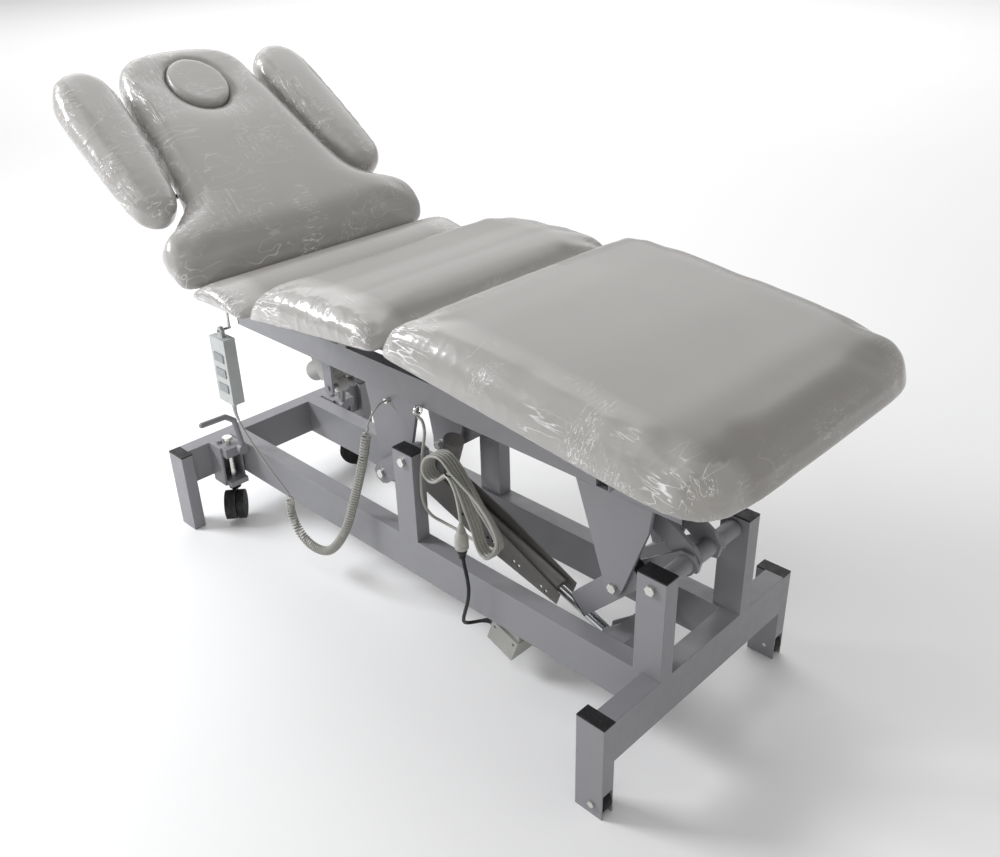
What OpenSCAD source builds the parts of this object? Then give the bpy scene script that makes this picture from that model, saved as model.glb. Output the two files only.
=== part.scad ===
// Powered facial treatment bed: welded base, parallelogram lift, four upholstered sections.
// Millimetres, +Z up. +X is the foot end, -Y the side with the handset.

/* [Base] */
// overall length over the floor legs
base_len = 1390; // [1200:5:1600]
// overall width over the floor legs
base_w = 590; // [500:5:700]
// top of the legs and rails above the floor
base_h = 210; // [160:5:260]
// depth of the base rails
rail_d = 90; // [60:5:110]
// width of the base rails
rail_w = 40; // [30:1:60]
// long side of the leg and upright tube
post_a = 60; // [40:1:80]
// short side of the leg and upright tube
post_b = 30; // [25:1:40]
// wall of every steel tube
wall = 2.5; // [1.5:0.5:4]
// outer face of the side rails from the middle
side_y = 142; // [120:1:180]
// top of the uprights above the floor
upright_h = 421; // [380:1:480]
// head end of the middle uprights
mid_x = 701; // [600:1:800]

/* [Lift] */
// height of the fixed pivots
pivot_z = 396; // [360:1:420]
// head-ward reach of the lift arms at rest
arm_dx = 127; // [100:1:150]
// drop of the lift arms at rest
arm_dz = 96; // [60:1:120]
// diameter of the pivot bolts
bolt_d = 12; // [8:1:16]
// running clearance on the bolt diameter
run = 0.12; // [0.02:0.02:0.2]

/* [Upper frame] */
// underside of the upper frame rails
frame_z = 498; // [450:1:550]
// depth of the upper frame rails
frame_d = 62; // [40:1:80]
// outer face of the upper frame rails
frame_y = 80; // [60:1:120]
// width of the upper frame rails
frame_t = 30; // [20:1:40]

/* [Upholstery] */
// half width of the sections
pad_w = 318; // [260:1:350]
// thickness of the seat padding
seat_t = 46; // [35:1:80]
// thickness of the back padding
back_t = 70; // [50:1:90]
// thickness of the thigh padding
thigh_t = 74; // [50:1:90]
// thickness of the leg padding
leg_t = 86; // [50:1:100]
// height of the section hinges
hinge_z = 690; // [650:1:720]
// raise of the back section at rest, degrees
back_a = 34; // [0:1:60]
// raise of the thigh section at rest, degrees
thigh_a = 6.3; // [0:0.1:22]
// length of the back section
back_len = 650; // [500:5:700]
// length of the thigh section between hinges
thigh_len = 396; // [350:1:450]
// length of the leg section
leg_len = 668; // [550:1:700]

/* [Hidden] */
white = [0.88, 0.89, 0.91];
grey = [0.62, 0.63, 0.64];
black = [0.06, 0.06, 0.07];
steel = [0.72, 0.73, 0.75];
hide = [0.90, 0.89, 0.87];
zinc = [0.80, 0.80, 0.78];
leg_y = base_w / 2;
up_y = side_y;
up_in = side_y - 34;
cap_t = 3;
foot_px = base_len - post_a / 2;
mid_px = mid_x + post_a / 2;
foot_gx = foot_px - arm_dx;
mid_gx = mid_px - arm_dx;
gus_z = pivot_z - arm_dz;
gus_y = frame_y;
gus_t = 8;
frame_x0 = 60;
frame_x1 = 1370;
back_hx = 300;
thigh_hx = 505;
pad_z = 10;
knee_x = thigh_hx + thigh_len * cos(thigh_a);
knee_z = hinge_z + thigh_len * sin(thigh_a);
head_end = back_hx - back_len * cos(back_a) + pad_z * sin(back_a);
foot_end = knee_x + leg_len * cos(thigh_a) + (pad_z + leg_t) * sin(thigh_a);
shift_x = -(head_end + foot_end) / 2;
pin_d = 10;
ear_r = 9.5;
in_y0 = 100;
out_y0 = 130;
bar = 25;
lift_ax = 640;
lift_az = 290;
lift_ex = 1180;
lift_ez = 105;
lift_len = sqrt(pow(lift_ex - lift_ax, 2) + pow(lift_az - lift_ez, 2));
lift_a = atan2(lift_az - lift_ez, lift_ex - lift_ax);
back_fx = 345;
back_fz = 400;
back_gs = 200;
back_gd = 40;
back_gx = back_hx - back_gs * cos(back_a) - back_gd * sin(back_a);
back_gz = hinge_z + back_gs * sin(back_a) - back_gd * cos(back_a);
back_rl = sqrt(pow(back_gx - back_fx, 2) + pow(back_gz - back_fz, 2));
back_ra = atan2(back_gz - back_fz, back_gx - back_fx);
knee_kx = 1060;
knee_kz = 520;
knee_us = 300;
knee_ud = 40;
knee_ux = thigh_hx + knee_us * cos(thigh_a) + knee_ud * sin(thigh_a);
knee_uz = hinge_z + knee_us * sin(thigh_a) - knee_ud * cos(thigh_a);
knee_rl = sqrt(pow(knee_ux - knee_kx, 2) + pow(knee_uz - knee_kz, 2));
knee_ra = atan2(knee_uz - knee_kz, knee_ux - knee_kx);
castor_x = 84;
castor_y = 177;
castor_lift = 12;
hs_x = 316;
hs_y = -271;
hs_z0 = 448;
hs_len = 152;
hs_pz = hs_z0 + hs_len + 14;
rocker_z = [484, 520, 556];
plug_x = 934;
plug_z = 293;
hook_x = 732;
box_x = 979;
box_tilt = 20;
foot_axle_x = base_len - 22;
foot_axle_z = 26;
foot_wheel_d = 48;
foot_axle_d = 8;
chan_x0 = 40;
chan_x1 = 92;
chan_z0 = 104;
chan_z1 = 212;
chan_y0 = -206;
chan_y1 = -147;
chan_t = 5;
stem_d = 16;
swivel_d = 10;
axle_d = 8;
fork_turn = -40;
lever_pin = 10;
lever_d = 14;
boss_d = 34;
boss_y0 = -60;
boss_y1 = -20;
lift_pin = 20;
eye_d = 12;
lug_y0 = -20;
lug_y1 = -14;
rail_z0 = -22;
rail_z1 = 10;
rod_pin = 12;
face_a = 78;
face_b = 71;
box_l = 72;
box_wide = 62;
box_high = 56;
box_y = -140;
gland_y = -112;
gland_z = 82;
key_w = 17.5;
key_h = 9.5;
cord_d = 6;
coil_d = 22;
lead_d = 8;
wire_d = 6;
arm_z0 = 7;
arm_high = 76;
coil_pts = [[384, -205, 196], [380, -205, 160], [388, -204, 126], [410, -203, 100], [445, -202, 86],
    [482, -200, 88], [515, -198, 104], [545, -190, 140], [568, -180, 190], [585, -170, 250],
    [600, -160, 310], [612, -150, 370], [618, -142, 420]];
lead_a = [[320, -271, 431.4], [320, -271, 422], [325, -267, 395], [338, -252, 340], [360, -230, 270],
    [384, -205, 192]];
lead_b = [[618, -142, 416], [620, -136, 444], [623, -120, 470], [624, -104, 479.5], [624, -96, 480],
    [624, -90.4, 480]];
mains_pts = [[plug_x, -174, plug_z - 0.4], [plug_x, -174, 278], [940, -173, 252], [947, -171, 222],
    [946, -169, 190], [939, -167, 157], [929, -164, 124], [918, -157, 98], [913, -146, 80],
    [916, -132, 71], [926, -119, 73], [938, -113, 79], [944, gland_y, gland_z],
    [950.4, gland_y, gland_z]];
wheel_r = 37.5;
wheel_z = castor_lift + wheel_r;
trail = 26;
lev_x = 121;
lev_y = 160;
lev_z = 205;
tilt = 46;
tube_up = 64;
tube_dn = 130;
link_pts = [[-22, -20], [-15, -24], [arm_dx + 12, arm_dz - 20], [arm_dx + 24, arm_dz],
    [arm_dx + 14, arm_dz + 20], [arm_dx - 12, arm_dz + 22], [-22, 18]];
cross_x = [60, 330, 1086, 1330];
seat_x = [318, 462];
seat_z0 = 628;
seat_z1 = 658;
back_out = [[-8, 300], [-22, 318], [-70, 322], [-120, 316], [-152, 292], [-172, 258], [-200, 236],
    [-240, 226], [-367, 202], [-481, 178], [-570, 166], [-615, 148], [-641, 108], [-649, 60],
    [-back_len, 0]];
face_s = -520;
pad_s = [-270, -480];
arm_out = [[-172, 274], [-180, 304], [-206, 326], [-260, 334], [-540, 334], [-592, 318],
    [-620, 280], [-620, 236], [-594, 202], [-560, 190], [-481, 194], [-367, 215], [-250, 238],
    [-206, 248], [-182, 258]];
leg_out = [[4, pad_w], [585, pad_w], [636, 302], [662, 262], [leg_len, 0]];
roll_s = thigh_len;
roll_d = 60;
roll_r = 20;

function px(x) = x + shift_x;

// solid block by its two corners
module blk(x0, x1, y0, y1, z0, z1) {
    translate([px(x0), y0, z0])
        cube([x1 - x0, y1 - y0, z1 - z0]);
}

// open tube along one axis: d = 0 X, 1 Y, 2 Z
module tube(d, x0, x1, y0, y1, z0, z1, w = wall) {
    a = d == 0 ? -1 : w;
    b = d == 1 ? -1 : w;
    c = d == 2 ? -1 : w;
    difference() {
        blk(x0, x1, y0, y1, z0, z1);
        blk(x0 + a, x1 - a, y0 + b, y1 - b, z0 + c, z1 - c);
    }
}

// round bar along Y
module bar_y(x, z, d, y0, y1, n = 48) {
    translate([px(x), y1, z])
        rotate([90, 0, 0])
            cylinder(d = d, h = y1 - y0, $fn = n);
}

// both sides of the middle plane
module both() {
    children();
    mirror([0, 1, 0])
        children();
}

module far(s) {
    if (s > 0)
        mirror([0, 1, 0])
            children();
    else
        children();
}

// flat plate in the XZ plane, points in local coordinates
module plate(pts, y0, y1) {
    translate([0, y1, 0])
        rotate([90, 0, 0])
            linear_extrude(y1 - y0)
                polygon(pts);
}

// hex head bolt along Y pointing inward from y0 (negative side)
module bolt_y(x, z, y0, len, d, head, nut) {
    bar_y(x, z, d, y0, y0 + len);
    bar_y(x, z, 1.7 * d, y0 - head, y0, 6);
    if (nut > 0)
        bar_y(x, z, 1.7 * d, y0 + len - nut, y0 + len, 6);
}

// ---- base ----

module legs() color(white)
    both() {
        tube(2, 0, post_a, -leg_y, -leg_y + post_b, 0, base_h - cap_t);
        difference() {
            tube(2, base_len - post_a, base_len, -leg_y, -leg_y + post_b, 0, base_h - cap_t);
            blk(base_len - 15, base_len + 1, -leg_y + wall, -leg_y + post_b - wall, -1, 54);
            bar_y(foot_axle_x, foot_axle_z, foot_axle_d, -leg_y - 1, -leg_y + post_b + 1);
        }
    }

module cross_rails() color(white) {
    tube(1, 0, rail_w, -leg_y + post_b, leg_y - post_b, base_h - rail_d, base_h);
    tube(1, base_len - rail_w, base_len, -leg_y + post_b, leg_y - post_b, base_h - rail_d, base_h);
}

module side_rails() color(white)
    both()
        tube(0, rail_w, base_len - rail_w, -side_y, -side_y + rail_w, base_h - rail_d, base_h);

module uprights() color(white)
    both()
        for (x = [mid_x, base_len - post_a])
            difference() {
                tube(2, x, x + post_a, -up_y, -up_in, base_h, upright_h - cap_t);
                bar_y(x + post_a / 2, pivot_z, bolt_d, -up_y - 1, -up_in + 1);
            }

module cap_at(x, y0, y1, z) {
    blk(x, x + post_a, y0, y1, z - cap_t, z);
    tube(2, x + wall, x + post_a - wall, y0 + wall, y1 - wall, z - 14, z - cap_t, 2);
}

module tube_caps() color(black)
    both() {
        cap_at(0, -leg_y, -leg_y + post_b, base_h);
        cap_at(base_len - post_a, -leg_y, -leg_y + post_b, base_h);
        cap_at(mid_x, -up_y, -up_in, upright_h);
        cap_at(base_len - post_a, -up_y, -up_in, upright_h);
    }

module base_bolts() color(zinc)
    both() {
        bolt_y(foot_px, pivot_z, -up_y, 90, bolt_d, 7, 0);
        bolt_y(mid_px, pivot_z, -up_y, 64, bolt_d, 7, 8);
        bolt_y(foot_axle_x, foot_axle_z, -leg_y, post_b, foot_axle_d, 5, 0);
    }

module base_lugs() color(white) {
    tube(1, 1208, 1248, -side_y + rail_w, side_y - rail_w, 124, 164);
    both()
        difference() {
            translate([px(0), 0, 0])
                plate([[1160, 86], [1208, 124], [1208, 164], [1164, 128]], -19, -13);
            bar_y(lift_ex, lift_ez, bolt_d, -30, 0);
        }
}

module power_box() color(grey) {
    translate([px(box_x), box_y, base_h - rail_d])
        rotate([0, box_tilt, 0])
            translate([0, 0, -box_high])
                difference() {
                    cube([box_l, box_wide, box_high]);
                    for (x = [9, box_l - 9])
                        translate([x, 3, 44])
                            rotate([90, 0, 0])
                                cylinder(d = 7, h = 4, $fn = 24);
                }
    translate([px(box_x), 0, base_h - rail_d])
        plate([[0, 0], [66, -23.5], [66, 0]], -134, -108);
    translate([px(box_x + 4), gland_y, gland_z])
        rotate([0, -90, 0])
            cylinder(d = 13, h = 32, $fn = 24);
}

module castor_channels() color(white)
    both()
        difference() {
            union() {
                blk(chan_x0, chan_x1, chan_y0, chan_y0 + chan_t, chan_z0, chan_z1);
                blk(chan_x0, chan_x1, chan_y1 - chan_t, chan_y1, chan_z0, chan_z1);
                blk(chan_x0, chan_x0 + chan_t, chan_y0 + chan_t, chan_y1 - chan_t, chan_z0, chan_z1);
                blk(45, 112, chan_y0 + chan_t, chan_y1 - chan_t, chan_z1 - 24, chan_z1);
                blk(45, 112, chan_y0 + chan_t, chan_y1 - chan_t, chan_z0, chan_z0 + 14);
                bolt_head_z(62, -166, chan_z1);
                bolt_head_z(62, -189, chan_z1);
            }
            translate([px(castor_x), -castor_y, 0])
                cylinder(d = stem_d + run, h = 400, $fn = 48);
            translate([px(-1), -lev_y, lev_z])
                rotate([0, 90, 0])
                    translate([0, 0, 90])
                        cylinder(d = lever_pin, h = 40, $fn = 32);
        }

module bolt_head_z(x, y, z) {
    translate([px(x), y, z])
        cylinder(d = 15, h = 7, $fn = 6);
}

module foot_wheel(s) color(black)
    far(s)
        difference() {
            bar_y(foot_axle_x, foot_axle_z, foot_wheel_d, -leg_y + 4.5, -leg_y + post_b - 4.5, 64);
            bar_y(foot_axle_x, foot_axle_z, foot_axle_d + run, -leg_y, -leg_y + post_b);
        }

module foot_wheel_near() foot_wheel(-1);
module foot_wheel_far() foot_wheel(1);

// ---- castors, drawn at the near side ----

module castor_stem(s) color(steel)
    far(s)
        translate([px(castor_x), -castor_y, 0]) {
            translate([0, 0, 96])
                cylinder(d = stem_d, h = 130, $fn = 48);
            translate([0, 0, 226])
                cylinder(d = 24, h = 6, $fn = 48);
            translate([0, 0, 90])
                cylinder(d = swivel_d, h = 6, $fn = 48);
        }

module castor_stem_near() castor_stem(-1);
module castor_stem_far() castor_stem(1);

module castor_fork(s) color(black)
    far(s)
        translate([px(castor_x), -castor_y, 0])
            rotate([0, 0, fork_turn]) {
                difference() {
                    translate([0, 0, 88])
                        cylinder(d = 30, h = 8 - run, $fn = 48);
                    translate([0, 0, 89.9])
                        cylinder(d = swivel_d + run, h = 10, $fn = 48);
                }
                difference() {
                    translate([trail, 0, wheel_z])
                        rotate([90, 0, 0])
                            translate([0, 0, -5])
                                cylinder(r = 41, h = 10, $fn = 72);
                    translate([trail, 0, wheel_z - 42])
                        translate([-60, -20, -40])
                            cube([120, 40, 60]);
                }
                translate([trail, 0, wheel_z])
                    rotate([90, 0, 0])
                        translate([0, 0, -24])
                            cylinder(d = axle_d, h = 48, $fn = 32);
            }

module castor_fork_near() castor_fork(-1);
module castor_fork_far() castor_fork(1);

module castor_wheels(s) color(black)
    far(s)
        translate([px(castor_x), -castor_y, 0])
            rotate([0, 0, fork_turn])
                translate([trail, 0, wheel_z])
                    rotate([90, 0, 0])
                        for (h = [-1, 1])
                            difference() {
                                translate([0, 0, h * 15 - 9])
                                    cylinder(r = wheel_r, h = 18, $fn = 72);
                                translate([0, 0, -40])
                                    cylinder(d = axle_d + run, h = 80, $fn = 32);
                            }

module castor_wheels_near() castor_wheels(-1);
module castor_wheels_far() castor_wheels(1);

module castor_lever(s) color(white)
    far(s)
        translate([px(lev_x), -lev_y, lev_z]) {
            rotate([0, 90, 0])
                translate([0, 0, -8])
                    cylinder(d = 26, h = 16, $fn = 48);
            rotate([0, -90, 0])
                translate([0, 0, 8])
                    cylinder(d = lever_pin - run, h = 24, $fn = 32);
            rod_seg([0, 2, 6], [0, -10, 84], lever_d);
            rod_seg([0, -10, 84], [0, -32, 102], lever_d);
            rod_seg([0, -32, 102], [0, -96, 104], lever_d);
        }

module castor_lever_near() castor_lever(-1);
module castor_lever_far() castor_lever(1);

// round rod between two points with round ends
module rod_seg(a, b, d) {
    v = b - a;
    l = norm(v);
    translate(a)
        rotate([0, acos(v[2] / l), atan2(v[1], v[0])])
            cylinder(d = d, h = l, $fn = 24);
    translate(a)
        sphere(d = d, $fn = 24);
    translate(b)
        sphere(d = d, $fn = 24);
}

// ---- lift arms ----

module pivot_cross_tube() color(white)
    difference() {
        bar_y(foot_px, pivot_z, boss_d, -up_in + 4, up_in - 4, 64);
        bar_y(foot_px, pivot_z, bolt_d + run, -up_in - 1, up_in + 1);
    }

module arm_tubes() color(white)
    both()
        translate([px(foot_gx), 0, gus_z])
            rotate([0, -tilt, 0])
                difference() {
                    translate([-tube_dn, -gus_y + 10, -25])
                        cube([tube_dn + tube_up, 25, 50]);
                    translate([-tube_dn - 1, -gus_y + 10 + wall, -25 + wall])
                        cube([tube_dn + tube_up + 2, 25 - 2 * wall, 50 - 2 * wall]);
                    rotate([90, 0, 0])
                        translate([0, 0, 30])
                            cylinder(d = bolt_d + run, h = 60, $fn = 48);
                }

module arm_tube_caps() color(black)
    both()
        translate([px(foot_gx), 0, gus_z])
            rotate([0, -tilt, 0])
                for (x = [-tube_dn - 3, tube_up])
                    translate([x, -gus_y + 10, -25])
                        cube([3, 25, 50]);

module arm_links() color(white)
    both() {
        difference() {
            translate([px(foot_gx), 0, gus_z])
                plate(link_pts, -44, -36);
            bar_y(foot_px, pivot_z, boss_d, boss_y0, boss_y1, 64);
            bar_y(foot_gx, gus_z, bolt_d + run, -60, -20);
        }
        difference() {
            translate([px(foot_px), 0, pivot_z])
                plate([[18, -18], [24, 8], [8, 32], [-104, 96], [-122, 80], [-118, 58],
                    [-28, 0], [-10, -24]], -35, -27);
            bar_y(foot_px, pivot_z, boss_d, boss_y0, boss_y1, 64);
            bar_y(foot_px - 104, pivot_z + 78, 10, -60, -20);
        }
    }

module mid_arms() color(white)
    both()
        difference() {
            translate([px(mid_gx), 0, gus_z])
                plate([[-25, 0], [-18, -18], [0, -25], [15, -20], [arm_dx + 15, arm_dz - 20],
                    [arm_dx + 24, arm_dz - 6], [arm_dx + 20, arm_dz + 16], [arm_dx, arm_dz + 24],
                    [arm_dx - 15, arm_dz + 20], [-15, 20]], -gus_y - 20, -gus_y - 6);
            bar_y(mid_px, pivot_z, bolt_d + run, -120, -60);
            bar_y(mid_gx, gus_z, bolt_d + run, -120, -60);
        }

// ---- upper frame ----

module frame_rails() color(white)
    both()
        tube(0, frame_x0, frame_x1, -frame_y, -frame_y + frame_t, frame_z, frame_z + frame_d);

module frame_cross_tubes() color(white) {
    for (x = cross_x)
        tube(1, x, x + 30, -frame_y + frame_t, frame_y - frame_t, frame_z, frame_z + 40);
    bar_y(lift_ax, lift_az, lift_pin, -gus_y + gus_t, gus_y - gus_t, 48);
}

module frame_end_caps() color(black)
    both() {
        blk(frame_x1, frame_x1 + 4, -frame_y, -frame_y + frame_t, frame_z, frame_z + frame_d);
        blk(frame_x0 - 4, frame_x0, -frame_y, -frame_y + frame_t, frame_z, frame_z + frame_d);
    }

module gusset_plates() color(white)
    both() {
        difference() {
            translate([px(foot_gx), 0, gus_z])
                plate([[-91, 198], [78, 198], [72, 150], [22, 6], [14, -12], [-8, -18],
                    [-20, -8], [-24, 8]], -gus_y, -gus_y + gus_t);
            bar_y(foot_gx, gus_z, bolt_d, -120, -60);
        }
        difference() {
            translate([px(mid_gx), 0, gus_z])
                plate([[-56, 198], [112, 198], [62, 0], [52, -22], [10, -26], [-8, -20],
                    [-20, -4], [-20, 14]], -gus_y, -gus_y + gus_t);
            bar_y(mid_gx, gus_z, bolt_d, -120, -60);
            bar_y(lift_ax, lift_az, 14, -120, -60);
        }
    }

module gusset_bolts() color(zinc)
    both() {
        bolt_y(foot_gx, gus_z, -gus_y, 54, bolt_d, 7, 8);
        bolt_y(mid_gx, gus_z, -gus_y - 20, 38, bolt_d, 7, 8);
    }

module actuator_hangers() color(white)
    both() {
        difference() {
            translate([px(0), 0, 0])
                plate([[328, frame_z], [362, frame_z], [360, 392], [352, 382], [338, 382], [330, 392]],
                    -36, -30);
            bar_y(back_fx, back_fz, eye_d, boss_y0, -10);
        }
        difference() {
            translate([px(0), 0, 0])
                plate([[1086, 500], [1086, 536], [1050, 534], [1044, 520], [1050, 506]], -22, -16);
            bar_y(knee_kx, knee_kz, eye_d, boss_y0, -10);
        }
        bar_y(back_fx, back_fz, eye_d, -40, 0);
        bar_y(knee_kx, knee_kz, eye_d, -26, 0);
    }

module seat_frame() color(white)
    both() {
        for (x = seat_x)
            tube(2, x, x + 30, -frame_y, -frame_y + frame_t, frame_z + frame_d, seat_z0);
        for (x = seat_x)
            tube(1, x, x + 30, -165, 0.001, seat_z0, seat_z1);
        difference() {
            union() {
                blk(310, 495, -out_y0 - bar, -out_y0, seat_z1, hinge_z + pad_z);
                blk(back_hx, 312, -out_y0 - bar, -out_y0, 682, 698);
                blk(493, thigh_hx, -out_y0 - bar, -out_y0, 682, 698);
                bar_y(back_hx, hinge_z, 2 * ear_r, -out_y0 - bar, -out_y0);
                bar_y(thigh_hx, hinge_z, 2 * ear_r, -out_y0 - bar, -out_y0);
            }
            bar_y(back_hx, hinge_z, pin_d, -200, -100);
            bar_y(thigh_hx, hinge_z, pin_d, -200, -100);
        }
    }

module seat_pins() color(zinc)
    both() {
        bar_y(back_hx, hinge_z, pin_d, -out_y0 - bar - 2, -in_y0 + 2);
        bar_y(thigh_hx, hinge_z, pin_d, -out_y0 - bar - 2, -in_y0 + 2);
    }

module seat_pad() color(hide)
    translate([px(0), 0, hinge_z + pad_z])
        plate([[back_hx + 8, 0], [thigh_hx - 4, 0], [thigh_hx - 4 - seat_t * tan(12), seat_t],
            [back_hx + 8 + seat_t * tan(30), seat_t]], -pad_w, pad_w);

module leg_tracks() color(white) {
    tube(1, 1250, 1280, -160, 160, 560, 590);
    both()
        blk(1205, 1328, -out_y0 - bar, -out_y0, 590, 609.5);
}

// ---- back section, drawn flat from its hinge and raised ----

module at_back() {
    translate([px(back_hx), 0, hinge_z])
        rotate([0, back_a, 0])
            children();
}

function flip(p) = [for (i = [len(p) - 2:-1:0]) [p[i][0], -p[i][1]]];

function oval(cx, a, b, n) = [for (i = [0:n - 1]) [cx + a * cos(360 * i / n), b * sin(360 * i / n)]];

module back_pad() color(hide)
    at_back()
        difference() {
            translate([0, 0, pad_z])
                linear_extrude(back_t)
                    polygon(concat(back_out, flip(back_out)));
            translate([0, 0, -20])
                linear_extrude(200)
                    polygon(oval(face_s, face_a, face_b, 36));
            translate([-8, -400, pad_z])
                rotate([0, -30, 0])
                    translate([0, 0, -20])
                        cube([100, 800, 200]);
        }

module face_plug() color(hide)
    at_back()
        translate([0, 0, pad_z])
            linear_extrude(back_t)
                polygon(oval(face_s, face_a - 1, face_b - 1, 36));

module back_rails() color(white)
    at_back() {
        both()
            difference() {
                union() {
                    translate([-520, -in_y0 - bar, rail_z0])
                        cube([508, bar, rail_z1 - rail_z0]);
                    translate([-14, -in_y0 - bar, -8])
                        cube([14, bar, 16]);
                    rotate([90, 0, 0])
                        translate([0, 0, in_y0])
                            cylinder(r = ear_r, h = bar, $fn = 48);
                }
                rotate([90, 0, 0])
                    translate([0, 0, 60])
                        cylinder(d = pin_d + run, h = 120, $fn = 48);
            }
        both()
            difference() {
                plate([[-back_gs - 40, 10], [-back_gs + 40, 10], [-back_gs + 30, -back_gd - 12],
                    [-back_gs - 30, -back_gd - 12]], lug_y0, lug_y1);
                rotate([90, 0, 0])
                    translate([-back_gs, -back_gd, 0])
                        cylinder(d = eye_d, h = 60, $fn = 48);
            }
        translate([-back_gs - 15, -in_y0, -5])
            cube([30, in_y0 - 20, 15]);
        translate([-back_gs - 15, 20, -5])
            cube([30, in_y0 - 20, 15]);
    }

module arm_sockets() color(white)
    at_back()
        both()
            for (x = pad_s)
                translate([x, -130, 1])
                    rotate([90, 0, 0])
                        difference() {
                            cylinder(d = 18, h = 55, $fn = 48);
                            translate([0, 0, -1])
                                cylinder(d = rod_pin + run, h = 60, $fn = 48);
                        }

module arm_pad(s) color(hide)
    at_back()
        far(s) {
            translate([0, 0, arm_z0])
                linear_extrude(arm_high)
                    polygon([for (p = arm_out) [p[0], -p[1]]]);
            for (x = pad_s)
                translate([x, -134, 1])
                    rotate([90, 0, 0])
                        cylinder(d = rod_pin, h = 176, $fn = 48);
        }

module arm_pad_near() arm_pad(-1);
module arm_pad_far() arm_pad(1);

// ---- thigh section, drawn flat from its hinge and raised ----

module at_thigh() {
    translate([px(thigh_hx), 0, hinge_z])
        rotate([0, -thigh_a, 0])
            children();
}

module thigh_pad() color(hide)
    at_thigh()
        plate([[4, pad_z], [thigh_len - 4, pad_z], [thigh_len - 4, pad_z + thigh_t],
            [4 + thigh_t * tan(12), pad_z + thigh_t]], -pad_w, pad_w);

module thigh_rails() color(white)
    at_thigh() {
        both()
            difference() {
                union() {
                    translate([12, -in_y0 - bar, rail_z0])
                        cube([thigh_len - 24, bar, rail_z1 - rail_z0]);
                    for (x = [0, thigh_len])
                        translate([x, 0, 0]) {
                            rotate([90, 0, 0])
                                translate([0, 0, in_y0])
                                    cylinder(r = ear_r, h = bar, $fn = 48);
                        }
                    translate([0, -in_y0 - bar, -8])
                        cube([thigh_len, bar, 16]);
                }
                rotate([90, 0, 0])
                    translate([0, 0, 60])
                        cylinder(d = pin_d + run, h = 120, $fn = 48);
            }
        both()
            translate([thigh_len, 0, 0])
                rotate([90, 0, 0])
                    translate([0, 0, in_y0 + bar])
                        cylinder(d = pin_d, h = bar + 7, $fn = 48);
        both()
            difference() {
                plate([[knee_us - 40, 10], [knee_us + 40, 10], [knee_us + 26, -knee_ud - 12],
                    [knee_us - 26, -knee_ud - 12]], lug_y0, lug_y1);
                rotate([90, 0, 0])
                    translate([knee_us, -knee_ud, 0])
                        cylinder(d = eye_d, h = 60, $fn = 48);
            }
        both()
            translate([knee_us - 15, -in_y0, -5])
                cube([30, in_y0 - 20, 15]);
    }

// ---- leg section, drawn flat from the knee and lowered ----

module at_leg() {
    translate([px(knee_x), 0, knee_z])
        rotate([0, thigh_a, 0])
            children();
}

module leg_pad() color(hide)
    at_leg()
        translate([0, 0, pad_z])
            linear_extrude(leg_t)
                polygon(concat([for (i = [len(leg_out) - 1:-1:0]) leg_out[i]],
                    [for (i = [0:len(leg_out) - 2]) [leg_out[i][0], -leg_out[i][1]]]));

module leg_rails() color(white)
    at_leg() {
        both()
            difference() {
                union() {
                    translate([12, -out_y0 - bar, rail_z0])
                        cube([590, bar, rail_z1 - rail_z0]);
                    translate([0, -out_y0 - bar, -8])
                        cube([14, bar, 16]);
                    rotate([90, 0, 0])
                        translate([0, 0, out_y0])
                            cylinder(r = ear_r, h = bar, $fn = 48);
                    for (y = [-out_y0 - bar, -out_y0 - 3])
                        translate([roll_s - 14, y, -roll_d - 12])
                            cube([28, 3, 60]);
                }
                rotate([90, 0, 0])
                    translate([0, 0, 60])
                        cylinder(d = pin_d + run, h = 120, $fn = 48);
                translate([roll_s, 0, -roll_d])
                    rotate([90, 0, 0])
                        translate([0, 0, 60])
                            cylinder(d = 8, h = 120, $fn = 48);
            }
        translate([560, -out_y0, -18])
            cube([25, 2 * out_y0, 28]);
    }

module leg_rollers() color(black)
    at_leg()
        both()
            translate([roll_s, 0, -roll_d])
                rotate([90, 0, 0])
                    translate([0, 0, out_y0 + 4]) {
                        cylinder(r = roll_r, h = bar - 8, $fn = 64);
                        translate([0, 0, -3])
                            cylinder(d = 8 - run, h = bar - 2, $fn = 32);
                    }

// ---- actuators, local +X from the rear pivot to the rod eye ----

module rod_eye(l, w, r) {
    translate([l, 0, 0])
        rotate([90, 0, 0])
            translate([0, 0, -w / 2])
                cylinder(r = r, h = w, $fn = 48);
}

module x_rod(x0, x1, d) {
    translate([x0, 0, 0])
        rotate([0, 90, 0])
            cylinder(d = d, h = x1 - x0, $fn = 48);
}

// housing: rear lug, gearbox, motor and outer tube with a bore for the rod
module housing(pin, gear_l, box_w, motor_l, tube_l, rod, tube_d = 40) {
    difference() {
        union() {
            rod_eye(0, 24, 18);
            translate([0, -12, -12])
                cube([26, 24, 24]);
            translate([24, -box_w / 2, -34])
                cube([gear_l, box_w, 68]);
            x_rod(24 + gear_l, tube_l, tube_d);
            translate([24 + gear_l / 2, 0, 30])
                cylinder(d = box_w, h = motor_l, $fn = 64);
        }
        rotate([90, 0, 0])
            translate([0, 0, -30])
                cylinder(d = pin + run, h = 60, $fn = 48);
        x_rod(50, tube_l + 1, rod + run);
    }
}

module rod(x0, l, d) {
    x_rod(x0, l - 8, d);
    rod_eye(l, 20, 13);
}

module at_lift() {
    translate([px(lift_ax), 0, lift_az])
        rotate([0, lift_a, 0])
            children();
}

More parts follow.
